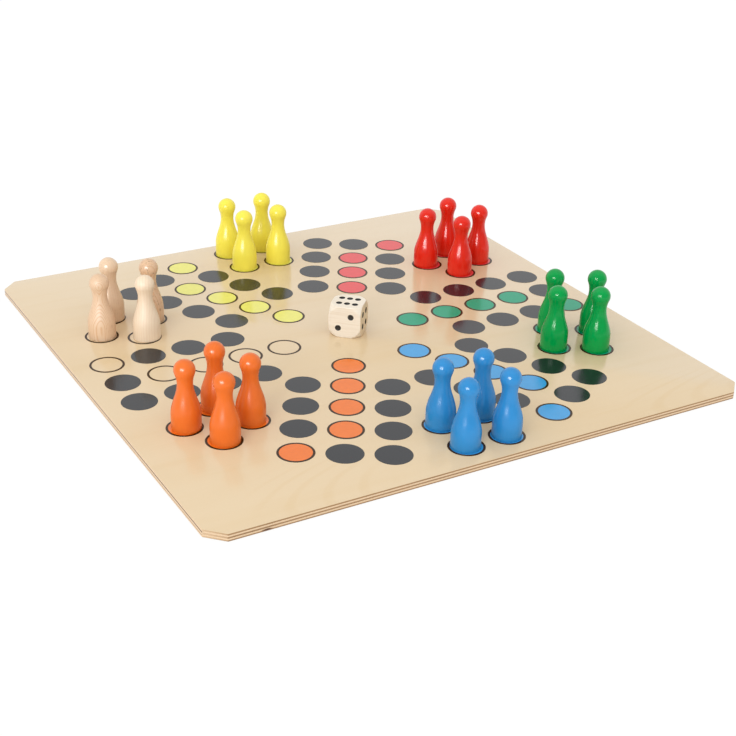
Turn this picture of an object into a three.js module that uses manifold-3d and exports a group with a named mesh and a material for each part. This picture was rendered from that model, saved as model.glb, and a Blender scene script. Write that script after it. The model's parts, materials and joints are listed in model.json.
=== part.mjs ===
// Ludo board for six players: a square plywood board printed with a star of round fields,
// four turned wooden pawns for each player, and a wooden die in the middle.
// Millimetres, +Z up. The origin is the centre of the board's underside.

import * as THREE from 'three';
import { mergeVertices } from 'three/addons/utils/BufferGeometryUtils.js';
import Module from 'manifold-3d';

// Board: its side follows from the print, by the distance from the outer homes to the edge
const edgeDistance = 26.75;
const cornerCut = 14;
const facePlyThickness = 1.3;
const crossPlyThickness = 1.3;
const corePlyThickness = 1.3;

// Printed fields: a thin raised film on the top face
const fieldDiameter = 30.4;
const fieldPitch = 38;
const innerRowRadius = 67;
const rowsPerArm = 5;
const ringStroke = 2;
const printThickness = 0.125;
const printRoot = 0.5;
const fieldSides = 20;

// Home circles: two by two beside each arm, set back from its last row
const homeSetback = 15;
const homePitch = 38.5;
const homeTurn = -30;

// Pawn: a straight foot, a shoulder that eases into the neck, and a ball head
const pawnHeight = 60;
const pawnFootDiameter = 24.6;
const pawnFootEdge = 0.6;
const pawnShoulderHeight = 12.5;
const pawnNeckDiameter = 12.8;
const pawnNeckDrop = 11.7;
const pawnHeadDiameter = 17.4;
const pawnSides = 16;
const shoulderSteps = 6;
const neckSteps = 2;
const headSteps = 5;

// Die: a cube turned down by a ball, with drilled pips
const dieSide = 30;
const dieBallDiameter = 44;
const dieTurn = -43;
const diePlace = new THREE.Vector2(0.4, 4.4);
const pipDiameter = 5.6;
const pipDepth = 0.8;
const pipOffset = 5.8;
const pipPitchOfSix = 7.4;
const pipSides = 10;
const ballRings = 16;

// Players in order round the board. A nudge is how far a pawn stands off the middle of its
// home circle, along the nudge heading, as pieces set down by hand do.
const players = [
  { name: 'green', heading: 0, colour: '#0b9a4c', nudges: [-0.9, 0.9, -1.4, 0.9] },
  { name: 'red', heading: 60, colour: '#d9281c', nudges: [-1.15, -1.35, -0.95, 1.4] },
  { name: 'yellow', heading: 120, colour: '#f0df45', nudges: [-0.85, 0.05, -0.4, -0.8] },
  { name: 'natural', heading: 180, colour: '#e6c9a0', nudges: [0.1, 2.4, 2.2, 0.65] },
  { name: 'orange', heading: 240, colour: '#f0692a', nudges: [2.15, -0.95, 1.45, 1.0] },
  { name: 'blue', heading: 300, colour: '#3d93d6', nudges: [-0.05, 0, -0.85, -0.3] },
];
const nudgeHeading = -30;

const faceColour = '#e6d1b0';
const crossColour = '#b98a5a';
const dieColour = '#efe0c4';
const varnishRoughness = 0.35;
const paintRoughness = 0.3;
const bareWoodRoughness = 0.55;

const boardTop = 2 * facePlyThickness + 2 * crossPlyThickness + corePlyThickness;
const printTop = boardTop + printThickness;
const lastRowRadius = innerRowRadius + (rowsPerArm - 1) * fieldPitch;
const homeGroupRadius = lastRowRadius - homeSetback;
const boardSide = 2 * (homeGroupRadius + homePitch / 2 + edgeDistance);

const wasm = await Module();
wasm.setup();

function toSolid(geometry) {
  const bare = geometry.clone();
  bare.deleteAttribute('normal');
  bare.deleteAttribute('uv');
  const merged = mergeVertices(bare);
  return new wasm.Manifold(new wasm.Mesh({
    numProp: 3,
    vertProperties: new Float32Array(merged.attributes.position.array),
    triVerts: new Uint32Array(merged.index.array),
  }));
}

function toGeometry(solid) {
  const { vertProperties, triVerts } = solid.getMesh();
  const geometry = new THREE.BufferGeometry();
  geometry.setAttribute('position', new THREE.BufferAttribute(vertProperties, 3));
  geometry.setIndex(new THREE.BufferAttribute(triVerts, 1));
  geometry.computeVertexNormals();
  return geometry;
}

function piece(name, geometry, colour, roughness) {
  const material = new THREE.MeshStandardMaterial({ color: colour, roughness, metalness: 0 });
  const mesh = new THREE.Mesh(geometry, material);
  mesh.name = name;
  return mesh;
}

// A point given along and across a heading from the board's centre
function placeOnHeading(heading, along, across) {
  const centre = new THREE.Vector2();
  return new THREE.Vector2(along, across).rotateAround(centre, THREE.MathUtils.degToRad(heading));
}

function boardOutline() {
  const half = boardSide / 2;
  const straight = half - cornerCut;
  const corners = [[1, 1], [-1, 1], [-1, -1], [1, -1]];
  const points = corners.flatMap(([x, y], index) => {
    const onSide = new THREE.Vector2(x * half, y * straight);
    const onEnd = new THREE.Vector2(x * straight, y * half);
    return index % 2 === 0 ? [onSide, onEnd] : [onEnd, onSide];
  });
  return new THREE.Shape(points);
}

function plySheet(thickness) {
  return new THREE.ExtrudeGeometry(boardOutline(), { depth: thickness, bevelEnabled: false });
}

function homePlaces(player) {
  const heading = player.heading + homeTurn;
  return [-1, 1].flatMap((radial) => [-1, 1].map((side) => (
    placeOnHeading(heading, homeGroupRadius + radial * homePitch / 2, side * homePitch / 2)
  )));
}

// Every field of one player's arm: its centre column, its two side columns and the homes.
// A field that belongs to the natural player is an open ring, and all others are filled.
function armFields(player) {
  const fields = [];
  for (let row = 1; row <= rowsPerArm; row += 1) {
    const along = innerRowRadius + (row - 1) * fieldPitch;
    const isLast = row === rowsPerArm;
    fields.push({ place: placeOnHeading(player.heading, along, 0), owned: !isLast });
    if (row > 1) {
      for (const side of [-1, 1]) {
        const place = placeOnHeading(player.heading, along, side * fieldPitch);
        fields.push({ place, owned: isLast && side < 0 });
      }
    }
  }
  for (const place of homePlaces(player)) {
    fields.push({ place, owned: true });
  }
  return fields.map(({ place, owned }) => ({ place, open: owned && player.name === 'natural' }));
}

function printedDisc(diameter) {
  const height = printRoot + printThickness;
  const disc = new THREE.CylinderGeometry(diameter / 2, diameter / 2, height, fieldSides);
  disc.rotateX(Math.PI / 2);
  return toSolid(disc);
}

// The top veneer lies with its underside at zero and carries the print on its upper face
function printedFacePly() {
  const filled = printedDisc(fieldDiameter);
  const open = filled.subtract(printedDisc(fieldDiameter - 2 * ringStroke));
  const discMiddle = facePlyThickness + (printThickness - printRoot) / 2;
  let sheet = toSolid(plySheet(facePlyThickness));
  for (const field of players.flatMap(armFields)) {
    const print = field.open ? open : filled;
    sheet = sheet.add(print.translate([field.place.x, field.place.y, discMiddle]));
  }
  return toGeometry(sheet);
}

function makeBoard() {
  const board = new THREE.Group();
  const layers = [
    ['bottom_face_ply', facePlyThickness, faceColour],
    ['lower_cross_ply', crossPlyThickness, crossColour],
    ['core_ply', corePlyThickness, faceColour],
    ['upper_cross_ply', crossPlyThickness, crossColour],
    ['top_face_ply', facePlyThickness, faceColour],
  ];
  let height = 0;
  for (const [name, thickness, colour] of layers) {
    const geometry = name === 'top_face_ply' ? printedFacePly() : plySheet(thickness);
    const sheet = piece(name, geometry, colour, varnishRoughness);
    sheet.position.z = height;
    board.add(sheet);
    height += thickness;
  }
  return board;
}

// Half outline of a pawn from the middle of its foot to the top of its head. The neck is a
// hollow arc, upright at its narrowest point and tangent to the ball of the head.
function pawnProfile() {
  const foot = pawnFootDiameter / 2;
  const neck = pawnNeckDiameter / 2;
  const head = pawnHeadDiameter / 2;
  const headHeight = pawnHeight - head;
  const neckHeight = headHeight - pawnNeckDrop;
  const hollow = (neck ** 2 + pawnNeckDrop ** 2 - head ** 2) / (2 * (head - neck));
  const meetAngle = Math.atan2(pawnNeckDrop, neck + hollow);

  const profile = [
    new THREE.Vector2(0, 0),
    new THREE.Vector2(foot - pawnFootEdge, 0),
    new THREE.Vector2(foot, pawnFootEdge),
  ];
  for (let step = 0; step <= shoulderSteps; step += 1) {
    const share = step / shoulderSteps;
    const ease = (1 + Math.cos(Math.PI * share)) / 2;
    const height = THREE.MathUtils.lerp(pawnShoulderHeight, neckHeight, share);
    profile.push(new THREE.Vector2(neck + (foot - neck) * ease, height));
  }
  for (let step = 1; step < neckSteps; step += 1) {
    const angle = meetAngle * step / neckSteps;
    const radius = neck + hollow * (1 - Math.cos(angle));
    profile.push(new THREE.Vector2(radius, neckHeight + hollow * Math.sin(angle)));
  }
  for (let step = 0; step < headSteps; step += 1) {
    const angle = THREE.MathUtils.lerp(-meetAngle, Math.PI / 2, step / headSteps);
    const radius = head * Math.cos(angle);
    profile.push(new THREE.Vector2(radius, headHeight + head * Math.sin(angle)));
  }
  profile.push(new THREE.Vector2(0, pawnHeight));
  return profile;
}

function makePawns(player) {
  const pawns = new THREE.Group();
  const geometry = new THREE.LatheGeometry(pawnProfile(), pawnSides);
  geometry.rotateX(Math.PI / 2);
  const roughness = player.name === 'natural' ? bareWoodRoughness : paintRoughness;
  homePlaces(player).forEach((home, index) => {
    const place = home.add(placeOnHeading(nudgeHeading, player.nudges[index], 0));
    const pawn = piece(`pawn_${player.name}_${index + 1}`, geometry, player.colour, roughness);
    pawn.position.set(place.x, place.y, printTop);
    pawns.add(pawn);
  });
  return pawns;
}

// Pip places on one face of the die, as offsets from the middle of the face
function pipLayout(count) {
  const corner = pipOffset;
  const pair = [[-corner, -corner], [corner, corner]];
  const otherPair = [[-corner, corner], [corner, -corner]];
  const layouts = {
    1: [[0, 0]],
    2: pair,
    3: [[0, 0], ...pair],
    4: [...pair, ...otherPair],
    5: [[0, 0], ...pair, ...otherPair],
    6: [-1, 0, 1].flatMap((step) => [-1, 1].map((side) => [step * pipPitchOfSix, side * corner])),
  };
  return layouts[count];
}

// Opposite faces add up to seven. Each face is given by the turn that brings +Z onto it.
function makeDie() {
  const quarter = Math.PI / 2;
  const faces = [
    { count: 6, turn: new THREE.Euler(0, 0, 0) },
    { count: 1, turn: new THREE.Euler(2 * quarter, 0, 0) },
    { count: 2, turn: new THREE.Euler(quarter, 0, 0) },
    { count: 5, turn: new THREE.Euler(-quarter, 0, 0) },
    { count: 4, turn: new THREE.Euler(0, quarter, 0) },
    { count: 3, turn: new THREE.Euler(0, -quarter, 0) },
  ];
  const ball = new THREE.SphereGeometry(dieBallDiameter / 2, ballRings, ballRings / 2);
  let solid = toSolid(new THREE.BoxGeometry(dieSide, dieSide, dieSide)).intersect(toSolid(ball));
  for (const { count, turn } of faces) {
    for (const [x, y] of pipLayout(count)) {
      const drill = new THREE.CylinderGeometry(pipDiameter / 2, pipDiameter / 2, 2 * pipDepth, pipSides);
      drill.rotateX(quarter);
      drill.translate(x, y, dieSide / 2);
      drill.applyMatrix4(new THREE.Matrix4().makeRotationFromEuler(turn));
      solid = solid.subtract(toSolid(drill));
    }
  }
  const die = piece('die', toGeometry(solid), dieColour, bareWoodRoughness);
  die.position.set(diePlace.x, diePlace.y, boardTop + dieSide / 2);
  die.rotation.z = THREE.MathUtils.degToRad(dieTurn);
  return die;
}

const ludoBoard = new THREE.Group();
ludoBoard.add(makeBoard());
for (const player of players) {
  ludoBoard.add(makePawns(player));
}
ludoBoard.add(makeDie());

export default ludoBoard;
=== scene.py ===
"""Ludo board: lacquered plywood with printed fields, turned pawns and a wooden die."""

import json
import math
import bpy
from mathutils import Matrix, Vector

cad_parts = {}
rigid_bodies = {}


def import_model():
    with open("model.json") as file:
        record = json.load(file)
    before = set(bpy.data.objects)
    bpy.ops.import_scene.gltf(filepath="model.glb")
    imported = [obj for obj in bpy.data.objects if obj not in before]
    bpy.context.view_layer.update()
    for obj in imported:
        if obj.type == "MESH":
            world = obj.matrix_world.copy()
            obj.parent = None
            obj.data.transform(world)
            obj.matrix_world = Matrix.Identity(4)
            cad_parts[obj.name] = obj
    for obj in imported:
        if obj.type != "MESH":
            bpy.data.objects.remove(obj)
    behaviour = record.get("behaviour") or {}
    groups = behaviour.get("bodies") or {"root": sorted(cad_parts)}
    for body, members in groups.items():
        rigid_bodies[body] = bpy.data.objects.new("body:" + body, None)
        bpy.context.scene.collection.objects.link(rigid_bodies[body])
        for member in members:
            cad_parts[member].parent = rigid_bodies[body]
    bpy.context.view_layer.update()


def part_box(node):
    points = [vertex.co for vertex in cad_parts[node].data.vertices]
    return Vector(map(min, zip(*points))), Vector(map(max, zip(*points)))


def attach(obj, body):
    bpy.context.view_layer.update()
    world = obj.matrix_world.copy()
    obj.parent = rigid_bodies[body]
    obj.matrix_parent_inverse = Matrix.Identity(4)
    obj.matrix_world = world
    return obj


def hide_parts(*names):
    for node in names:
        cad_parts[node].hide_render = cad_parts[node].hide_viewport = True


bl_info = {
    "name": "Ludo board",
    "version": (1, 0, 0),
    "blender": (4, 5, 0),
    "location": "View3D > Sidebar > Ludo",
    "description": "Models a lacquered plywood ludo board with its turned pawns and its die",
    "category": "Object",
}

import bmesh
import bpy
from bpy.props import FloatProperty, FloatVectorProperty, IntProperty, PointerProperty
from mathutils import Color, Euler, Quaternion, Vector

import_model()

PLAYERS = ("green", "red", "yellow", "natural", "orange", "blue")
PAWNS_EACH = 4
PLIES = ("bottom_face_ply", "lower_cross_ply", "core_ply", "upper_cross_ply", "top_face_ply")
BUMP_DEPTH = 0.0002

WOOD_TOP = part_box("die")[0][2]
PRINT_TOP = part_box("top_face_ply")[1][2]
CORE_LOW, CORE_HIGH = (corner[2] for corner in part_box("core_ply"))
PAWN_LOW, PAWN_HIGH = (Vector(corner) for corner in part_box("pawn_green_1"))


def length(name, description, default):
    return FloatProperty(name=name, description=description, default=default, unit="LENGTH", precision=5)


def number(name, description, default):
    return FloatProperty(name=name, description=description, default=default)


def point(name, description, default):
    return FloatVectorProperty(
        name=name, description=description, default=default, subtype="XYZ", unit="LENGTH", precision=5)


def angle(name, description, degrees):
    return FloatProperty(name=name, description=description, default=math.radians(degrees), subtype="ANGLE")


def colour(name, description, default):
    return FloatVectorProperty(
        name=name, description=description, default=default, subtype="COLOR_GAMMA", min=0.0, max=1.0)


class LudoBoardSettings(bpy.types.PropertyGroup):
    """Sizes and colours of the board and its print."""

    corner_cut: length("Corner cut", "How much is sawn off each corner along a side", 0.014)
    corner_ease: length("Corner ease", "Rounding of the upright edges at the corners", 0.0006)
    arris: length("Arris", "Rounding of the outer edges of the two face plies", 0.0004)
    glue_line: length("Glue line", "Rounding of a ply where it meets the next one", 0.00008)
    field_diameter: length("Field diameter", "Outer diameter of a printed field", 0.0304)
    field_pitch: length("Field pitch", "Distance between fields along and across an arm", 0.038)
    inner_row: length("Inner row", "Distance of the innermost fields from the centre", 0.067)
    rows: IntProperty(name="Rows", description="Fields along the middle of an arm", default=5, min=2)
    ring_stroke: length("Ring stroke", "Width of the dark ring round a coloured field", 0.002)
    home_setback: length("Home setback", "How far the homes lie inside the last row", 0.015)
    home_pitch: length("Home pitch", "Distance between the home circles of a player", 0.0385)
    home_turn: angle("Home turn", "Turn of the homes from their player's arm", -30)
    birch: colour("Birch", "Pale wood of the face plies", (0.872, 0.787, 0.653))
    birch_dark: colour("Birch figure", "Darker figure in the face plies", (0.838, 0.727, 0.550))
    pale_edge: colour("Pale edge", "Sawn edge of a ply on the sides where it is pale", (0.85, 0.74, 0.605))
    brown_edge: colour("Brown edge", "Sawn edge of a ply on the sides where it is brown", (0.60, 0.465, 0.32))
    knot: colour("Knot", "Knot in the front edge", (0.36, 0.22, 0.13))
    knot_place: point("Knot place", "Where the knot shows in the front edge", (-0.2057, -0.25, 0.0013))
    knot_size: point("Knot size", "Half lengths of the knot", (0.0052, 0.0100, 0.0012))
    ink: colour("Ink", "Dark print of the plain fields", (0.115, 0.122, 0.140))
    ring_ink: colour("Ring ink", "Dark print of the rings", (0.220, 0.130, 0.020))


class LudoPawnSettings(bpy.types.PropertyGroup):
    """Sizes and colours of the pawns."""

    foot_edge: length("Foot edge", "Rounding under the foot", 0.0006)
    shoulder: length("Shoulder", "Height of the straight foot", 0.0125)
    neck_diameter: length("Neck diameter", "Diameter at the narrowest point", 0.0128)
    neck_drop: length("Neck drop", "Distance of the narrowest point below the head's middle", 0.0117)
    head_diameter: length("Head diameter", "Diameter of the ball head", 0.0174)
    sides: IntProperty(name="Sides", description="Faces round a pawn", default=56, min=12)
    green: colour("Green", "Paint of the green pawns", (0.0, 0.590, 0.270))
    red: colour("Red", "Paint of the red pawns", (0.865, 0.145, 0.075))
    yellow: colour("Yellow", "Paint of the yellow pawns", (0.945, 0.890, 0.325))
    orange: colour("Orange", "Paint of the orange pawns", (0.900, 0.435, 0.150))
    blue: colour("Blue", "Paint of the blue pawns", (0.175, 0.525, 0.770))
    natural: colour("Beech", "Wood of the natural pawns", (0.930, 0.855, 0.750))
    natural_dark: colour("Beech figure", "Darker rings in the natural pawns", (0.840, 0.680, 0.530))


class LudoFillSettings(bpy.types.PropertyGroup):
    """Colours printed inside the ringed fields."""

    green: colour("Green", "Fill of the green fields", (0.0, 0.603, 0.452))
    red: colour("Red", "Fill of the red fields", (0.875, 0.275, 0.290))
    yellow: colour("Yellow", "Fill of the yellow fields", (0.900, 0.885, 0.430))
    orange: colour("Orange", "Fill of the orange fields", (0.920, 0.460, 0.115))
    blue: colour("Blue", "Fill of the blue fields", (0.205, 0.605, 0.845))


class LudoDieSettings(bpy.types.PropertyGroup):
    """Sizes and colours of the die."""

    side: length("Side", "Distance between opposite faces", 0.030)
    ball_diameter: length("Ball diameter", "Ball that rounds the corners", 0.044)
    turn: angle("Turn", "Turn of the die on the board", -43)
    pip_diameter: length("Pip diameter", "Diameter of a drilled pip", 0.0056)
    pip_depth: length("Pip depth", "Depth of a drilled pip", 0.0008)
    pip_offset: length("Pip offset", "Distance of a corner pip from the face's middle", 0.0058)
    pip_pitch_of_six: length("Pip pitch of six", "Distance between pips in a row of the six", 0.0074)
    voxel: length("Voxel", "Grain of the mesh that softens the edges", 0.00045)
    wood: colour("Wood", "Pale wood of the die", (0.930, 0.890, 0.825))
    wood_dark: colour("Wood figure", "Darker grain of the die", (0.880, 0.820, 0.730))
    wood_end: colour("End grain", "Wood of the two faces across the grain", (0.890, 0.795, 0.660))
    pip: colour("Pip", "Paint in the pips", (0.09, 0.08, 0.07))


class LudoStageSettings(bpy.types.PropertyGroup):
    """Camera, light and floor."""

    camera_place: point("Camera place", "Where the camera stands", (-0.5674, -1.0023, 0.5502))
    camera_aim: point("Camera aim", "Point that the camera looks at", (-0.0205, -0.0694, 0.0065))
    camera_roll: angle("Camera roll", "Tilt of the camera about its own axis", 1.597)
    lens: number("Lens", "Focal length in millimetres", 68.10)
    key_place: point("Key place", "Where the soft key light stands", (-4.16, -3.36, 2.08))
    key_width: length("Key width", "Width of the key light", 2.4)
    key_height: length("Key height", "Height of the key light", 1.3)
    key_power: number("Key power", "Power of the key light in watts", 78.0)
    spot_width: length("Spot width", "Width of the light that shows as spots", 3.0)
    spot_height: length("Spot height", "Height of the light that shows as spots", 1.7)
    spot_power: number("Spot power", "Power in watts of the light that shows as spots", 470.0)
    sky: number("Sky", "Strength of the even light from all round", 0.888)
    sky_lean: number("Sky lean", "How much brighter the even light is on the side of the key light", 0.50)
    room: number("Room", "Brightness of the room behind the camera in reflections", 0.25)
    floor_side: length("Floor side", "Side of the floor", 14.0)
    white: number("White", "Brightness of floor and background to the eye", 1.03)
    floor_shade: number("Floor shade", "Share of the floor's own shading that the camera sees", 0.12)
    floor: colour("Floor", "Colour of the floor", (0.96, 0.96, 0.96))


class Value:
    """A shader socket that turns Python arithmetic into Math nodes."""

    def __init__(self, finish, socket):
        self.finish = finish
        self.socket = socket

    def maths(self, operation, *terms):
        return self.finish.node("ShaderNodeMath", {"operation": operation}, dict(enumerate(terms)))

    def __add__(self, other):
        return self.maths("ADD", self, other)

    def __sub__(self, other):
        return self.maths("SUBTRACT", self, other)

    def __rsub__(self, other):
        return self.maths("SUBTRACT", other, self)

    def __mul__(self, other):
        return self.maths("MULTIPLY", self, other)

    __radd__ = __add__
    __rmul__ = __mul__

    def sine(self):
        return self.maths("SINE", self)

    def size(self):
        return self.maths("ABSOLUTE", self)

    def largest(self, other):
        return self.maths("MAXIMUM", self, other)


class Finish:
    """A node tree under construction."""

    def __init__(self, owner):
        owner.use_nodes = True
        self.owner = owner
        self.tree = owner.node_tree

    def node(self, kind, settings=None, inputs=None, output=0):
        """Adds a node, sets it up, feeds its sockets and returns one of its outputs, if it has any."""
        made = self.tree.nodes.new(kind)
        for key, value in (settings or {}).items():
            setattr(made, key, value)
        for key, value in (inputs or {}).items():
            self.feed(made.inputs[key], value)
        return Value(self, made.outputs[output]) if made.outputs else None

    def feed(self, socket, value):
        if isinstance(value, Value):
            self.tree.links.new(value.socket, socket)
        else:
            socket.default_value = value

    def object_place(self):
        return self.node("ShaderNodeTexCoord", output="Object")

    def mapped(self, vector, scale=(1, 1, 1), turn=(0, 0, 0), place=(0, 0, 0)):
        inputs = {"Vector": vector, "Scale": scale, "Rotation": turn, "Location": place}
        return self.node("ShaderNodeMapping", {}, inputs)

    def noise(self, vector, scale, detail, roughness):
        inputs = {"Vector": vector, "Scale": scale, "Detail": detail, "Roughness": roughness}
        return self.node("ShaderNodeTexNoise", {}, inputs)

    def grain(self, vector, fineness, detail, roughness):
        """Noise drawn out along the axes where its fineness, in waves to the metre, is low."""
        return self.noise(self.mapped(vector, fineness), 1.0, detail, roughness)

    def length(self, vector):
        return self.node("ShaderNodeVectorMath", {"operation": "LENGTH"}, {0: vector}, output="Value")

    def dot(self, vector, other):
        inputs = {0: vector, 1: other}
        return self.node("ShaderNodeVectorMath", {"operation": "DOT_PRODUCT"}, inputs, output="Value")

    def between(self, value, low, high):
        """0 below low, 1 above high, and a smooth rise between them."""
        inputs = {"Value": value, "From Min": low, "From Max": high}
        return self.node("ShaderNodeMapRange", {"interpolation_type": "SMOOTHSTEP"}, inputs)

    def blend(self, factor, first, second):
        return self.node("ShaderNodeMix", {"data_type": "RGBA"}, {0: factor, 6: first, 7: second}, output=2)

    def shades(self, depth, tint, first, last):
        """A tint times first where depth is 0, and times last where it is 1."""
        return self.blend(depth, linear(tint, first), linear(tint, last))

    def bump(self, height, strength):
        inputs = {"Height": height, "Strength": strength, "Distance": BUMP_DEPTH}
        return self.node("ShaderNodeBump", {}, inputs)

    def part(self, vector, axis):
        return self.node("ShaderNodeSeparateXYZ", {}, {"Vector": vector}, output=axis)

    def facing(self, axis, low, high, turn=0.0):
        """1 where a piece turned on the board looks along its own axis, either way, and 0 well off it."""
        look = self.node("ShaderNodeTexCoord", output="Normal")
        share = self.part(self.mapped(look, turn=(0, 0, -turn)), axis)
        return self.between(share.size(), low, high)

    def surface(self, **sockets):
        """Feeds the sockets of the surface shader. An underscore stands for a space."""
        shader = self.tree.nodes["Principled BSDF"]
        for key, value in sockets.items():
            self.feed(shader.inputs[key.replace("_", " ")], value)
        return self.owner


def new_finish(name):
    return Finish(bpy.data.materials.new(name))


def linear(display_colour, gain=1.0):
    """A display colour as the linear colour that a shader socket takes, made lighter or darker by gain."""
    return (*(Color(display_colour).from_srgb_to_scene_linear() * gain), 1.0)


def rising(value, start, rise):
    """Goes from start, where value is 0, up by rise, where it is 1."""
    return value * rise + start


# Finishes

LACQUER_ROUGHNESS = 0.14
LACQUER_PEEL = {"scale": 240.0, "detail": 2.0, "roughness": 0.5}
WOOD_SPECULAR = 0.43
PRINT_SPECULAR = 0.43
FILL_SPECULAR = {"green": 0.28, "red": 0.38}
RING_SPECULAR = 0.18
FIELD_MOTTLE = 120.0
RING_MOTTLE = 400.0
FILL_MOTTLE = 150.0
PAINT_GLOSS = {
    "green": {"roughness": 0.11, "specular": 0.26},
    "red": {"roughness": 0.14, "specular": 0.38},
    "yellow": {"roughness": 0.19, "specular": 0.27},
    "orange": {"roughness": 0.22, "specular": 0.32},
    "blue": {"roughness": 0.16, "specular": 0.34},
}
BIRCH_SHARES = {"cloud": 0.40, "streak": 0.16, "fibre": 0.22, "pores": 0.10, "flame": 0.20}
FLAMES = (
    {"tip": (-0.182, -0.247), "bow": 0.037, "spacing": 0.029,
     "middle": (-0.150, -0.228, 0.0065), "reach": (0.070, 0.055, 1.0)},
    {"tip": (0.157, -0.245), "bow": 0.014, "spacing": 0.042,
     "middle": (0.210, -0.235, 0.0065), "reach": (0.095, 0.045, 1.0)},
)
FLAME_WANDER = 0.006
SAWN_FIBRE = {"fineness": (500, 500, 1500), "detail": 4.0, "roughness": 0.65}
BLANK_HEART = 0.075
BLANK_TAPER = (1, 1, 0.10)
BLANK_LEAN = (0.03, 0.05, 0)
BLANK_WANDER = 0.006


def distance_from(finish, place, middle, half_lengths):
    """Distance from a point, counted in half lengths along each axis."""
    shrink = [1 / half for half in half_lengths]
    offset = [-along / half for along, half in zip(middle, half_lengths)]
    return finish.length(finish.mapped(place, shrink, place=offset))


def knot_share(finish, place, board):
    """1 in the middle of the knot, and 0 outside its ragged rim."""
    ragged = finish.noise(place, scale=700.0, detail=2.0, roughness=0.6) * 0.8
    distance = distance_from(finish, place, board.knot_place, board.knot_size) + ragged
    return 1.0 - finish.between(distance, low=0.7, high=1.5)


def flame_share(finish, place, flame):
    """Nested arcs of the figure, bowed round a tip near the edge and fading out at their reach."""
    across = finish.part(place, "Y") - flame["tip"][1]
    wave = finish.grain(place, fineness=(14, 30, 30), detail=2.0, roughness=0.5)
    wander = rising(wave, start=-FLAME_WANDER, rise=2 * FLAME_WANDER)
    along = finish.part(place, "X") - flame["tip"][0] - across * across * (1 / flame["bow"]) + wander
    swing = (along * (2 * math.pi / flame["spacing"]) + math.pi / 2).sine()
    distance = distance_from(finish, place, flame["middle"], flame["reach"])
    return finish.between(swing, low=0.2, high=1.0) * (1.0 - finish.between(distance, low=0.45, high=1.0))


def edge_grain(finish, place, board, is_face):
    """Sawn edge of a ply. A face ply is brown on the Y sides, and a ply across it on the X sides."""
    fibre = finish.grain(place, **SAWN_FIBRE)
    patch = finish.grain(place, fineness=(16, 16, 300), detail=3.0, roughness=0.5)
    depth = finish.between(fibre, low=0.3, high=0.75) * 0.5 + finish.between(patch, low=0.45, high=0.8) * 0.5
    brown = finish.shades(depth, board.brown_edge, first=1.15, last=0.65)
    pale = finish.shades(depth, board.pale_edge, first=1.04, last=0.90)
    if is_face:
        x_side = finish.facing("X", low=0.50, high=0.91)
        return finish.blend(x_side, brown, linear(board.pale_edge, gain=1.06))
    x_side = finish.facing("X", low=0.75, high=0.95)
    upper = finish.between(finish.part(place, "Z"), CORE_LOW, CORE_HIGH)
    half_brown = finish.blend(0.5, brown, pale)
    return finish.blend(x_side, pale, finish.blend(upper, half_brown, linear(board.brown_edge, gain=0.60)))


def birch_veneer(board):
    """Rotary-cut birch under gloss lacquer, with its sawn edges and the knot in one of them."""
    finish = new_finish("birch_veneer")
    place = finish.object_place()
    cloud = finish.grain(place, fineness=(3, 9, 9), detail=3.0, roughness=0.55)
    streak = finish.grain(place, fineness=(5, 60, 60), detail=3.0, roughness=0.5)
    fibre = finish.grain(place, fineness=(30, 900, 900), detail=4.0, roughness=0.6)
    pores = finish.grain(place, fineness=(90, 1500, 1500), detail=2.0, roughness=0.5)
    depth = finish.between(cloud, low=0.34, high=0.72) * BIRCH_SHARES["cloud"]
    depth = depth + finish.between(streak, low=0.45, high=0.75) * BIRCH_SHARES["streak"]
    depth = depth + fibre * BIRCH_SHARES["fibre"]
    depth = depth + finish.between(pores, low=0.66, high=0.78) * BIRCH_SHARES["pores"]
    for flame in FLAMES:
        depth = depth + flame_share(finish, place, flame) * BIRCH_SHARES["flame"]
    wood = finish.blend(depth, linear(board.birch), linear(board.birch_dark))
    sawn = 1.0 - finish.facing("Z", low=0.55, high=0.95)
    wood = finish.blend(sawn, wood, edge_grain(finish, place, board, True))
    wood = finish.blend(knot_share(finish, place, board), wood, linear(board.knot))
    peel = finish.noise(place, **LACQUER_PEEL)
    return finish.surface(
        Base_Color=wood,
        Roughness=rising(fibre, start=LACQUER_ROUGHNESS, rise=0.05),
        Specular_IOR_Level=WOOD_SPECULAR,
        Normal=finish.bump(peel * 0.6 + fibre * 0.4, strength=0.06))


def cross_veneer(board):
    """The plies that lie across, of which only the edges show."""
    finish = new_finish("cross_veneer")
    place = finish.object_place()
    wood = edge_grain(finish, place, board, False)
    wood = finish.blend(knot_share(finish, place, board), wood, linear(board.knot))
    fibre = finish.grain(place, **SAWN_FIBRE)
    return finish.surface(
        Base_Color=wood,
        Roughness=rising(fibre, start=0.35, rise=0.2),
        Normal=finish.bump(fibre, strength=0.25))


def printed_ink(name, tint, mottle_scale, specular=PRINT_SPECULAR):
    """Screen print under the lacquer, with a faint unevenness."""
    finish = new_finish(name)
    place = finish.object_place()
    mottle = finish.noise(place, mottle_scale, detail=3.0, roughness=0.6)
    peel = finish.noise(place, **LACQUER_PEEL)
    return finish.surface(
        Base_Color=finish.shades(mottle, tint, first=0.90, last=1.10),
        Roughness=rising(mottle, start=LACQUER_ROUGHNESS, rise=0.04),
        Specular_IOR_Level=specular,
        Normal=finish.bump(peel, strength=0.05))


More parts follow.
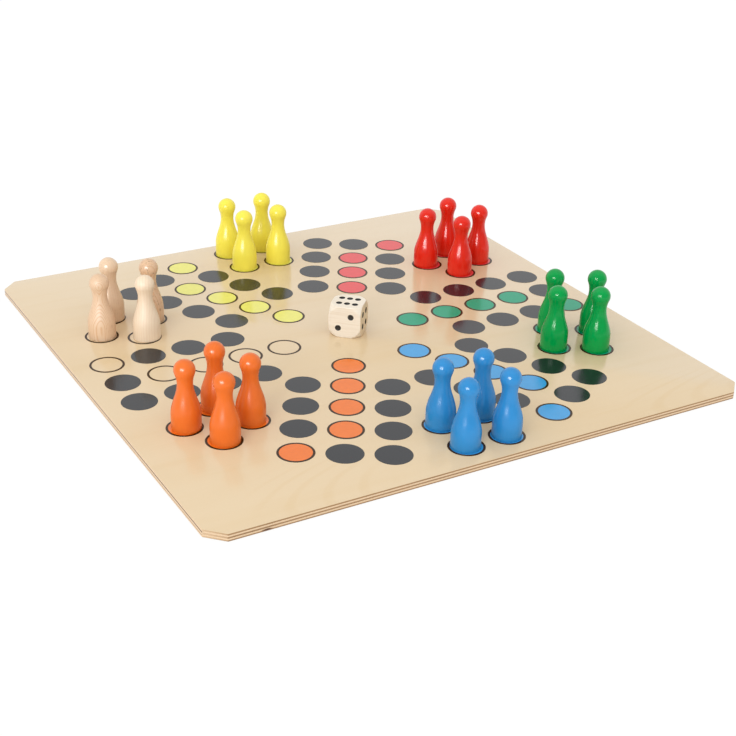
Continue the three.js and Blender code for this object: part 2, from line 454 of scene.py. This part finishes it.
def gloss_paint(name, tint, gloss):
    """Dipped paint on turned wood: the grain and the tool marks show through faintly."""
    finish = new_finish(name)
    place = finish.object_place()
    cloud = finish.noise(place, scale=70.0, detail=3.0, roughness=0.5)
    grain = finish.grain(place, fineness=(900, 900, 40), detail=3.0, roughness=0.6)
    turning = finish.grain(place, fineness=(6, 6, 900), detail=2.0, roughness=0.5)
    return finish.surface(
        Base_Color=finish.shades(cloud * 0.7 + grain * 0.3, tint, first=0.90, last=1.08),
        Roughness=rising(cloud, start=gloss["roughness"], rise=0.08),
        Specular_IOR_Level=gloss["specular"],
        Normal=finish.bump(grain * 0.5 + turning * 0.5, strength=0.06))


def turned_beech(name, pawns, foot, blank):
    """Varnished beech with dark flecks, cut from a blank whose heart lies beside the pawn."""
    finish = new_finish(name)
    local = finish.mapped(finish.object_place(), place=-foot)
    heart = on_heading(math.radians(blank["heart"]), BLANK_HEART, 0.0)
    wander = finish.grain(local, fineness=(45, 45, 16), detail=2.0, roughness=0.5) * BLANK_WANDER
    distance = finish.length(finish.mapped(local, BLANK_TAPER, BLANK_LEAN, heart)) + wander
    late = finish.between((distance * (2 * math.pi / blank["ring"])).sine(), low=0.1, high=1.0)
    fibre = finish.grain(local, fineness=(1100, 1100, 60), detail=4.0, roughness=0.6)
    speck = finish.grain(local, fineness=(600, 600, 260), detail=1.0, roughness=0.5)
    fleck = finish.between(speck, low=0.62, high=0.70) * blank["flecks"]
    depth = late * blank["rings"] + fibre * 0.28 + blank["even"]
    wood = finish.blend(depth, linear(pawns.natural), linear(pawns.natural_dark))
    return finish.surface(
        Base_Color=finish.blend(fleck, wood, linear(pawns.natural_dark, gain=0.62)),
        Roughness=rising(fibre, start=blank["roughness"], rise=0.15),
        Normal=finish.bump(fibre * 0.7 + late * 0.3, strength=0.12))


def die_wood(die):
    """Pale fine-grained wood with level grain lines, browner on the two faces across the grain."""
    finish = new_finish("die_wood")
    turned = finish.mapped(finish.object_place(), turn=(0, 0, -die.turn))
    layer = finish.grain(turned, fineness=(25, 120, 620), detail=3.0, roughness=0.55)
    fibre = finish.grain(turned, fineness=(90, 900, 1600), detail=3.0, roughness=0.6)
    depth = finish.between(layer, low=0.40, high=0.75) * 0.6 + fibre * 0.3
    long_grain = finish.blend(depth, linear(die.wood), linear(die.wood_dark))
    end = finish.facing("X", low=0.70, high=0.95, turn=die.turn) * rising(fibre, start=0.85, rise=0.3)
    return finish.surface(
        Base_Color=finish.blend(end, long_grain, linear(die.wood_end)),
        Roughness=rising(fibre, start=0.38, rise=0.2),
        Normal=finish.bump(fibre, strength=0.10))


def pip_paint(die):
    """Black paint in the drilled pips."""
    finish = new_finish("pip_paint")
    fleck = finish.noise(finish.object_place(), scale=900.0, detail=2.0, roughness=0.5)
    return finish.surface(
        Base_Color=finish.shades(fleck, die.pip, first=0.8, last=1.2),
        Roughness=rising(fleck, start=0.35, rise=0.2))


# Modelling helpers

MOSTLY = 0.9
SAME_HEIGHT = 1e-6
SAME_POINT = 1e-7
SMOOTH_BELOW = {"sawn": 35, "turned": 40}


def make_active(obj):
    bpy.ops.object.select_all(action="DESELECT")
    obj.select_set(True)
    bpy.context.view_layer.objects.active = obj


def new_primitive(add, name, **settings):
    """Adds a primitive by one of the add operators, alone in the selection, and names it."""
    bpy.ops.object.select_all(action="DESELECT")
    add(**settings)
    obj = bpy.context.object
    obj.name = name
    obj.data.name = name
    return obj


def edit(obj):
    make_active(obj)
    bpy.ops.object.mode_set(mode="EDIT")


def leave_edit():
    bpy.ops.object.mode_set(mode="OBJECT")


def select_where(obj, kind, test):
    """In edit mode, selects just the edges or faces that pass a test."""
    bpy.ops.mesh.select_mode(type={"edges": "EDGE", "faces": "FACE"}[kind])
    bpy.ops.mesh.select_all(action="DESELECT")
    shape = bmesh.from_edit_mesh(obj.data)
    for part in getattr(shape, kind):
        if test(part):
            part.select_set(True)
    bmesh.update_edit_mesh(obj.data)


def is_upright(edge):
    along = edge.verts[1].co - edge.verts[0].co
    return abs(along.z) > MOSTLY * along.length


def lies_at(part, height):
    return all(abs(vert.co.z - height) < SAME_HEIGHT for vert in part.verts)


def bevel_selected(offset, steps=1):
    bpy.ops.mesh.bevel(offset=offset, segments=steps, affect="EDGES")


def apply_modifier(obj, kind, **settings):
    make_active(obj)
    modifier = obj.modifiers.new(kind.lower(), kind)
    for key, value in settings.items():
        setattr(modifier, key, value)
    bpy.ops.object.modifier_apply(modifier=modifier.name)


def smooth(obj, kind):
    """Shades an object smooth, apart from the edges that are sharp for its kind of work."""
    make_active(obj)
    bpy.ops.object.shade_smooth_by_angle(angle=math.radians(SMOOTH_BELOW[kind]))


def settle(obj, place, turn=(0.0, 0.0, 0.0)):
    """Turns and moves a piece, and puts its place into its mesh."""
    make_active(obj)
    obj.location = place
    obj.rotation_euler = turn
    bpy.ops.object.transform_apply(location=True, rotation=True, scale=True)


def place_copy(template, name, place, turn=(0.0, 0.0, 0.0)):
    """A copy of a template with its own mesh, turned and moved to its place."""
    make_active(template)
    bpy.ops.object.duplicate()
    copy = bpy.context.object
    copy.name = name
    copy.data.name = name
    settle(copy, place, turn)
    return copy


def join(pieces, name):
    make_active(pieces[0])
    for part in pieces:
        part.select_set(True)
    bpy.ops.object.join()
    joined = bpy.context.object
    joined.name = name
    joined.data.name = name
    return joined


def remove(obj):
    bpy.data.objects.remove(obj)


def fasten(piece, body, slot, *nodes):
    """Rides a piece on its body and hides the solids that it stands for. Its slot is not used."""
    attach(piece, body)
    if nodes:
        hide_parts(*nodes)


def on_heading(heading, along, across):
    """A point on the board given along and across a heading from the centre."""
    point = Vector((along, across, 0.0))
    point.rotate(Euler((0.0, 0.0, heading)))
    return point


# Board

CORNER_STEPS = 4
ARRIS_STEPS = 3


def model_ply(node, board, top):
    """One sheet with sawn corners, its outer edges eased and its glue lines just broken."""
    low, high = (Vector(corner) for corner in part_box(node))
    high.z = min(high.z, top)
    ply = new_primitive(bpy.ops.mesh.primitive_cube_add, f"{node}_sheet", size=1.0)
    edit(ply)
    bpy.ops.transform.resize(value=high - low)
    bpy.ops.transform.translate(value=(low + high) / 2)
    select_where(ply, "edges", is_upright)
    bevel_selected(board.corner_cut)
    select_where(ply, "edges", is_upright)
    bevel_selected(board.corner_ease, CORNER_STEPS)
    for height, is_outer in ((low.z, node == PLIES[0]), (high.z, node == PLIES[-1])):
        select_where(ply, "edges", lambda edge, level=height: lies_at(edge, level))
        if is_outer:
            bevel_selected(board.arris, ARRIS_STEPS)
        else:
            bevel_selected(board.glue_line)
    leave_edit()
    smooth(ply, "sawn")
    return ply


class LUDO_OT_plies(bpy.types.Operator):
    """Models the five glued plies of the board"""

    bl_idname = "ludo.plies"
    bl_label = "Plies"

    def execute(self, context):
        board = context.scene.ludo_board
        finishes = {"face_veneer": birch_veneer(board), "cross_veneer": cross_veneer(board)}
        for node in PLIES:
            slot = "cross_veneer" if "cross" in node else "face_veneer"
            ply = model_ply(node, board, WOOD_TOP)
            ply.data.materials.append(finishes[slot])
            fasten(ply, "board", slot, node)
        return {"FINISHED"}


# Printed fields

ARM_TURN = 2 * math.pi / len(PLAYERS)
FIELD_SIDES = 72
FILM_EDGE = 0.00003


def home_places(board, player):
    """Where the four home circles of a player lie."""
    heading = ARM_TURN * PLAYERS.index(player) + board.home_turn
    middle = board.inner_row + (board.rows - 1) * board.field_pitch - board.home_setback
    half = board.home_pitch / 2
    corners = [(along * half, across * half) for along in (-1, 1) for across in (-1, 1)]
    return [on_heading(heading, middle + along, across) for along, across in corners]


def arm_places(board, player):
    """Where one player's own fields and the plain fields of the same arm lie."""
    heading = ARM_TURN * PLAYERS.index(player)
    owned = home_places(board, player)
    plain = []
    for row in range(board.rows):
        along = board.inner_row + row * board.field_pitch
        is_last = row == board.rows - 1
        (plain if is_last else owned).append(on_heading(heading, along, 0.0))
        if row > 0:
            owner = owned if is_last else plain
            owner.append(on_heading(heading, along, -board.field_pitch))
            plain.append(on_heading(heading, along, board.field_pitch))
    return owned, plain


def model_disc(name, board):
    """A round film of print with a slightly broken rim."""
    film = PRINT_TOP - WOOD_TOP
    disc = new_primitive(
        bpy.ops.mesh.primitive_cylinder_add, name, vertices=FIELD_SIDES, radius=board.field_diameter / 2,
        depth=film, location=(0.0, 0.0, WOOD_TOP + film / 2))
    bpy.ops.object.transform_apply(location=True, rotation=True, scale=True)
    edit(disc)
    select_where(disc, "edges", lambda edge: lies_at(edge, PRINT_TOP))
    bevel_selected(FILM_EDGE)
    leave_edit()
    return disc


def model_ringed_disc(name, board, is_open):
    """A disc whose rim stays dark. Its middle takes the second finish, or is cut out down to the wood."""
    disc = model_disc(name, board)
    edit(disc)
    select_where(disc, "faces", lambda face: lies_at(face, PRINT_TOP) and len(face.verts) == FIELD_SIDES)
    bpy.ops.mesh.inset(thickness=board.ring_stroke - FILM_EDGE)
    if is_open:
        bpy.ops.mesh.delete(type="FACE")
        select_where(disc, "faces", lambda face: lies_at(face, WOOD_TOP))
        bpy.ops.mesh.inset(thickness=board.ring_stroke)
        bpy.ops.mesh.delete(type="FACE")
        bpy.ops.mesh.select_mode(type="EDGE")
        bpy.ops.mesh.select_non_manifold(extend=False)
        bpy.ops.mesh.bridge_edge_loops()
        bpy.ops.mesh.select_all(action="SELECT")
        bpy.ops.mesh.normals_make_consistent(inside=False)
    leave_edit()
    return disc


def mark_middle(disc, board):
    """Gives the inset middle of a ringed disc the second finish."""
    inside_ring = board.field_diameter / 2 - board.ring_stroke
    for face in disc.data.polygons:
        is_middle = face.normal.z > MOSTLY and Vector(face.center).xy.length < inside_ring
        face.material_index = int(is_middle)


def print_fields(name, template, places, slot):
    """Copies a field, with the finishes that it has, to each of its places."""
    copies = [place_copy(template, f"{name}_{index}", place) for index, place in enumerate(places)]
    fasten(join(copies, name), "board", slot)


class LUDO_OT_plain_fields(bpy.types.Operator):
    """Prints the plain dark fields"""

    bl_idname = "ludo.plain_fields"
    bl_label = "Plain fields"

    def execute(self, context):
        board = context.scene.ludo_board
        template = model_disc("plain_field", board)
        template.data.materials.append(printed_ink("field_ink", board.ink, FIELD_MOTTLE))
        places = [place for player in PLAYERS for place in arm_places(board, player)[1]]
        print_fields("printed_fields_plain", template, places, "field_print")
        remove(template)
        return {"FINISHED"}


class LUDO_OT_player_fields(bpy.types.Operator):
    """Prints each player's ringed homes, home run and start field"""

    bl_idname = "ludo.player_fields"
    bl_label = "Player fields"

    def execute(self, context):
        board = context.scene.ludo_board
        fills = context.scene.ludo_fills
        ink = printed_ink("ring_ink", board.ring_ink, RING_MOTTLE, RING_SPECULAR)
        filled = model_ringed_disc("filled_field", board, False)
        filled.data.materials.append(ink)
        filled.data.materials.append(None)
        mark_middle(filled, board)
        hollow = model_ringed_disc("open_field", board, True)
        hollow.data.materials.append(ink)
        for player in PLAYERS:
            places = arm_places(board, player)[0]
            name = f"printed_fields_{player}"
            if player == "natural":
                print_fields(name, hollow, places, "field_print")
            else:
                specular = FILL_SPECULAR.get(player, PRINT_SPECULAR)
                filled.data.materials[1] = printed_ink(
                    f"fill_{player}", getattr(fills, player), FILL_MOTTLE, specular)
                print_fields(name, filled, places, f"paint_{player}")
        remove(filled)
        remove(hollow)
        return {"FINISHED"}


# Pawns

FOOT_STEPS = 4
SHOULDER_STEPS = 18
NECK_STEPS = 6
HEAD_STEPS = 16


def pawn_outline(pawns):
    """Radius and height of each ring of a pawn, from the foot to just under the top of the head."""
    height = PAWN_HIGH.z - PAWN_LOW.z
    foot = (PAWN_HIGH.x - PAWN_LOW.x) / 2
    neck = pawns.neck_diameter / 2
    head = pawns.head_diameter / 2
    head_height = height - head
    neck_height = head_height - pawns.neck_drop
    hollow = (neck ** 2 + pawns.neck_drop ** 2 - head ** 2) / (2 * (head - neck))
    meet = math.atan2(pawns.neck_drop, neck + hollow)
    rings = []
    for step in range(FOOT_STEPS + 1):
        turn = math.pi / 2 * step / FOOT_STEPS
        edge = pawns.foot_edge
        rings.append((foot - edge + edge * math.sin(turn), edge - edge * math.cos(turn)))
    for step in range(SHOULDER_STEPS + 1):
        share = step / SHOULDER_STEPS
        ease = (1 + math.cos(math.pi * share)) / 2
        rings.append((neck + (foot - neck) * ease, pawns.shoulder + (neck_height - pawns.shoulder) * share))
    for step in range(1, NECK_STEPS + 1):
        turn = meet * step / NECK_STEPS
        rings.append((neck + hollow * (1 - math.cos(turn)), neck_height + hollow * math.sin(turn)))
    for step in range(1, HEAD_STEPS):
        turn = -meet + (math.pi / 2 + meet) * step / HEAD_STEPS
        rings.append((head * math.cos(turn), head_height + head * math.sin(turn)))
    return rings, height


def model_pawn(pawns):
    """A pawn standing at the origin, drawn up ring by ring from its foot."""
    rings, height = pawn_outline(pawns)
    radius, level = rings[0]
    pawn = new_primitive(
        bpy.ops.mesh.primitive_circle_add, "pawn_pattern", vertices=pawns.sides, radius=radius,
        fill_type="NGON")
    edit(pawn)
    bpy.ops.mesh.select_all(action="SELECT")
    for next_radius, next_level in rings[1:]:
        bpy.ops.mesh.extrude_region_move(TRANSFORM_OT_translate={"value": (0, 0, next_level - level)})
        growth = next_radius / radius
        bpy.ops.transform.resize(value=(growth, growth, 1.0), center_override=(0, 0, next_level))
        radius, level = next_radius, next_level
    bpy.ops.mesh.extrude_region_move(TRANSFORM_OT_translate={"value": (0, 0, height - level)})
    bpy.ops.mesh.merge(type="CENTER")
    bpy.ops.mesh.select_all(action="SELECT")
    bpy.ops.mesh.remove_doubles(threshold=SAME_POINT)
    bpy.ops.mesh.normals_make_consistent(inside=False)
    leave_edit()
    smooth(pawn, "turned")
    return pawn


def pawn_foot(node):
    """Middle of the foot of a pawn in the frame."""
    low, high = (Vector(corner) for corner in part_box(node))
    return Vector(((low.x + high.x) / 2, (low.y + high.y) / 2, low.z))


def stand_pawn(template, node, finish, slot):
    """Stands a copy of a pawn where the frame has it."""
    pawn = place_copy(template, f"turned_{node}", pawn_foot(node))
    pawn.data.materials.append(finish)
    fasten(pawn, node, slot, node)


def pawn_nodes(player):
    return [f"pawn_{player}_{index + 1}" for index in range(PAWNS_EACH)]


class LUDO_OT_painted_pawns(bpy.types.Operator):
    """Turns and paints the pawns of the five painted colours"""

    bl_idname = "ludo.painted_pawns"
    bl_label = "Painted pawns"

    def execute(self, context):
        pawns = context.scene.ludo_pawns
        template = model_pawn(pawns)
        for player, gloss in PAINT_GLOSS.items():
            paint = gloss_paint(f"paint_{player}", getattr(pawns, player), gloss)
            for node in pawn_nodes(player):
                stand_pawn(template, node, paint, f"paint_{player}")
        remove(template)
        return {"FINISHED"}


BLANKS = (
    {"heart": 75, "ring": 0.0017, "rings": 0.42, "flecks": 0.8, "even": 0.62, "roughness": 0.22},
    {"heart": 335, "ring": 0.0024, "rings": 0.16, "flecks": 0.0, "even": -0.05, "roughness": 0.46},
    {"heart": 20, "ring": 0.0024, "rings": 0.10, "flecks": 0.15, "even": 0.36, "roughness": 0.22},
    {"heart": 66, "ring": 0.00095, "rings": 0.42, "flecks": 0.15, "even": 0.45, "roughness": 0.42},
)


class LUDO_OT_natural_pawns(bpy.types.Operator):
    """Turns the pawns of the unpainted player, each from its own blank"""

    bl_idname = "ludo.natural_pawns"
    bl_label = "Natural pawns"

    def execute(self, context):
        pawns = context.scene.ludo_pawns
        template = model_pawn(pawns)
        for node, blank in zip(pawn_nodes("natural"), BLANKS):
            beech = turned_beech(f"beech_{node}", pawns, pawn_foot(node), blank)
            stand_pawn(template, node, beech, "turned_beech")
        remove(template)
        return {"FINISHED"}


# Die

PIP_SIDES = 40
PIP_STEPS = 4
PIP_ROUNDING = 0.6
BALL_SEGMENTS = 96
BALL_RINGS = 64
SOFTENING = {"factor": 0.5, "iterations": 8}
QUARTER = math.pi / 2
FACE_TURNS = {6: (0.0, 0.0), 1: (2 * QUARTER, 0.0), 2: (QUARTER, 0.0), 5: (-QUARTER, 0.0),
              4: (0.0, QUARTER), 3: (0.0, -QUARTER)}


def pip_places(die, count):
    """Pip places on a face, as offsets from its middle."""
    far = die.pip_offset
    pair = [(-far, -far), (far, far)]
    other_pair = [(-far, far), (far, -far)]
    if count == 6:
        return [(step * die.pip_pitch_of_six, side * far) for step in (-1, 0, 1) for side in (-1, 1)]
    middle = [(0.0, 0.0)] if count % 2 else []
    return middle + (pair if count > 1 else []) + (other_pair if count > 3 else [])


def model_drills(die):
    """All the drill tips that cut the pips, round the middle of a die at the origin."""
    tip = new_primitive(
        bpy.ops.mesh.primitive_cylinder_add, "drill_tip", vertices=PIP_SIDES, radius=die.pip_diameter / 2,
        depth=2 * die.pip_depth)
    edit(tip)
    select_where(tip, "edges", lambda edge: lies_at(edge, -die.pip_depth))
    bevel_selected(die.pip_depth * PIP_ROUNDING, PIP_STEPS)
    leave_edit()
    drills = []
    for count, (about_x, about_y) in FACE_TURNS.items():
        turn = Euler((about_x, about_y, 0.0))
        for x, y in pip_places(die, count):
            place = Vector((x, y, die.side / 2))
            place.rotate(turn)
            drills.append(place_copy(tip, "drill", place, turn))
    remove(tip)
    return join(drills, "drills")


def model_die(die, wood, paint):
    """A cube rounded by a ball, softened all over and drilled."""
    low, high = (Vector(corner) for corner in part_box("die"))
    middle = (low + high) / 2
    cube = new_primitive(bpy.ops.mesh.primitive_cube_add, "rounded_die", size=die.side)
    cube.data.materials.append(wood)
    ball = new_primitive(
        bpy.ops.mesh.primitive_uv_sphere_add, "ball", segments=BALL_SEGMENTS, ring_count=BALL_RINGS,
        radius=die.ball_diameter / 2)
    apply_modifier(cube, "BOOLEAN", operation="INTERSECT", object=ball, solver="EXACT")
    apply_modifier(cube, "REMESH", mode="VOXEL", voxel_size=die.voxel)
    apply_modifier(cube, "SMOOTH", **SOFTENING)
    drills = model_drills(die)
    drills.data.materials.append(paint)
    apply_modifier(cube, "BOOLEAN", operation="DIFFERENCE", object=drills, solver="EXACT",
                   material_mode="TRANSFER")
    remove(ball)
    remove(drills)
    if not cube.data.polygons:
        raise RuntimeError("the pips cut the whole die away")
    settle(cube, middle, (0.0, 0.0, die.turn))
    smooth(cube, "turned")
    return cube


class LUDO_OT_die(bpy.types.Operator):
    """Shapes and drills the die"""

    bl_idname = "ludo.die"
    bl_label = "Die"

    def execute(self, context):
        die = context.scene.ludo_die
        cube = model_die(die, die_wood(die), pip_paint(die))
        fasten(cube, "die", "die_wood", "die")
        return {"FINISHED"}


# Stage

SPOT_RECEIVERS = ("turned_pawn", "rounded_die")
SENSOR_WIDTH = 36.0
VIEW_DEPTH = 50.0
FLOOR_DROP = 0.0005
FLOOR_CUTS = 3
ROOM_TILT = 0.5
ROOM_START, ROOM_END = -0.25, 0.55
CEILING_START, CEILING_END = 0.36, 0.55
WALL_BRIGHTNESS = 1.16
CEILING_DIMMING = 0.08
WHITE = (1.0, 1.0, 1.0, 1.0)


def is_ray(finish, kind):
    return finish.node("ShaderNodeLightPath", output=f"Is {kind} Ray")


def shows_surroundings(finish):
    """1 for the rays that show the surroundings, and 0 for those that light the object."""
    camera, glossy, through = (is_ray(finish, kind) for kind in ("Camera", "Glossy", "Transmission"))
    return camera.largest(glossy).largest(through)


def build_sky(stage):
    """White to the eye, darker behind the camera in reflections, and leaning to the key light as light."""
    world = bpy.data.worlds.new("studio")
    bpy.context.scene.world = world
    finish = Finish(world)
    finish.tree.nodes.clear()
    direction = finish.node("ShaderNodeTexCoord", output="Generated")
    shown = is_ray(finish, "Camera")
    mirrored = shows_surroundings(finish) - shown

    away = (Vector(stage.camera_aim) - Vector(stage.camera_place)).normalized()
    ahead = finish.dot(direction, (away.x, away.y, ROOM_TILT))
    room = rising(finish.between(ahead, ROOM_START, ROOM_END), start=stage.room, rise=1.0 - stage.room)
    ceiling = finish.between(finish.part(direction, "Z"), CEILING_START, CEILING_END)
    wall = rising(ceiling, start=WALL_BRIGHTNESS, rise=-CEILING_DIMMING)

    toward_key = Vector(stage.key_place).normalized()
    even = (finish.dot(direction, toward_key * stage.sky_lean) + 1.0) * stage.sky
    strength = shown * stage.white + mirrored * room * wall + (1.0 - shown - mirrored) * even
    sky = finish.node("ShaderNodeBackground", {}, {"Color": WHITE, "Strength": strength})
    finish.node("ShaderNodeOutputWorld", {}, {"Surface": sky})


def build_floor(stage):
    """A sheet of paper that is white to the eye, apart from a share of the object's shadow."""
    floor = new_primitive(
        bpy.ops.mesh.primitive_plane_add, "floor", size=stage.floor_side, location=(0, 0, -FLOOR_DROP))
    edit(floor)
    bpy.ops.mesh.subdivide(number_cuts=FLOOR_CUTS)
    leave_edit()
    finish = new_finish("floor_paper")
    finish.tree.nodes.clear()
    paper = finish.node("ShaderNodeBsdfDiffuse", {}, {"Color": linear(stage.floor)})
    glow = finish.node("ShaderNodeEmission", {}, {"Color": WHITE, "Strength": stage.white})
    share = shows_surroundings(finish) * (1.0 - stage.floor_shade)
    mixed = finish.node("ShaderNodeMixShader", {}, {0: share, 1: paper, 2: glow})
    finish.node("ShaderNodeOutputMaterial", {}, {"Surface": mixed})
    floor.data.materials.append(finish.owner)


def add_area_light(name, place, width, height, power):
    """A rectangular light that looks at the origin."""
    bpy.ops.object.light_add(type="AREA", location=place)
    light = bpy.context.object
    light.name = name
    light.data.shape = "RECTANGLE"
    light.data.size = width
    light.data.size_y = height
    light.data.energy = power
    light.rotation_euler = (-Vector(place)).to_track_quat("-Z", "Y").to_euler()
    return light


def build_key(stage):
    """A key light without mirror images, and one that only shows as spots on the pawns and the die."""
    place = stage.key_place
    key = add_area_light("key_light", place, stage.key_width, stage.key_height, stage.key_power)
    key.visible_glossy = False
    spots = add_area_light("spot_light", place, stage.spot_width, stage.spot_height, stage.spot_power)
    spots.visible_diffuse = False
    receivers = bpy.data.collections.new("spot_receivers")
    for piece in bpy.context.scene.objects:
        if piece.name.startswith(SPOT_RECEIVERS):
            receivers.objects.link(piece)
    spots.light_linking.receiver_collection = receivers


def build_camera(stage):
    """A camera that looks at its aim, rolled about its own axis."""
    bpy.ops.object.camera_add(location=stage.camera_place)
    camera = bpy.context.object
    camera.name = "camera"
    toward = Vector(stage.camera_aim) - Vector(stage.camera_place)
    roll = Quaternion((0, 0, 1), stage.camera_roll)
    camera.rotation_euler = (toward.to_track_quat("-Z", "Y") @ roll).to_euler()
    camera.data.sensor_width = SENSOR_WIDTH
    camera.data.lens = stage.lens
    camera.data.clip_end = VIEW_DEPTH
    bpy.context.scene.camera = camera


class LUDO_OT_stage(bpy.types.Operator):
    """Sets the floor, the light and the camera"""

    bl_idname = "ludo.stage"
    bl_label = "Stage"

    def execute(self, context):
        stage = context.scene.ludo_stage
        context.scene.view_settings.view_transform = "Standard"
        build_sky(stage)
        build_floor(stage)
        build_key(stage)
        build_camera(stage)
        return {"FINISHED"}


OPERATORS = (LUDO_OT_plies, LUDO_OT_plain_fields, LUDO_OT_player_fields, LUDO_OT_painted_pawns,
             LUDO_OT_natural_pawns, LUDO_OT_die, LUDO_OT_stage)
SETTINGS = {"ludo_board": LudoBoardSettings, "ludo_pawns": LudoPawnSettings, "ludo_fills": LudoFillSettings,
            "ludo_die": LudoDieSettings, "ludo_stage": LudoStageSettings}


class LUDO_PT_panel(bpy.types.Panel):
    """Lists the steps and the settings of the ludo board"""

    bl_idname = "LUDO_PT_panel"
    bl_label = "Ludo board"
    bl_space_type = "VIEW_3D"
    bl_region_type = "UI"
    bl_category = "Ludo"

    def draw(self, context):
        for operator in OPERATORS:
            self.layout.operator(operator.bl_idname)
        for key in SETTINGS:
            settings = getattr(context.scene, key)
            box = self.layout.box()
            for name in settings.bl_rna.properties.keys():
                if name not in {"rna_type", "name"}:
                    box.prop(settings, name)


def register():
    for kind in (*SETTINGS.values(), *OPERATORS, LUDO_PT_panel):
        bpy.utils.register_class(kind)
    for key, kind in SETTINGS.items():
        setattr(bpy.types.Scene, key, PointerProperty(type=kind))


def unregister():
    for key in SETTINGS:
        delattr(bpy.types.Scene, key)
    for kind in (LUDO_PT_panel, *reversed(OPERATORS), *reversed(SETTINGS.values())):
        bpy.utils.unregister_class(kind)


def main():
    register()
    bpy.ops.ludo.plies()
    bpy.ops.ludo.plain_fields()
    bpy.ops.ludo.player_fields()
    bpy.ops.ludo.painted_pawns()
    bpy.ops.ludo.natural_pawns()
    bpy.ops.ludo.die()
    bpy.ops.ludo.stage()


if __name__ == "__main__":
    main()
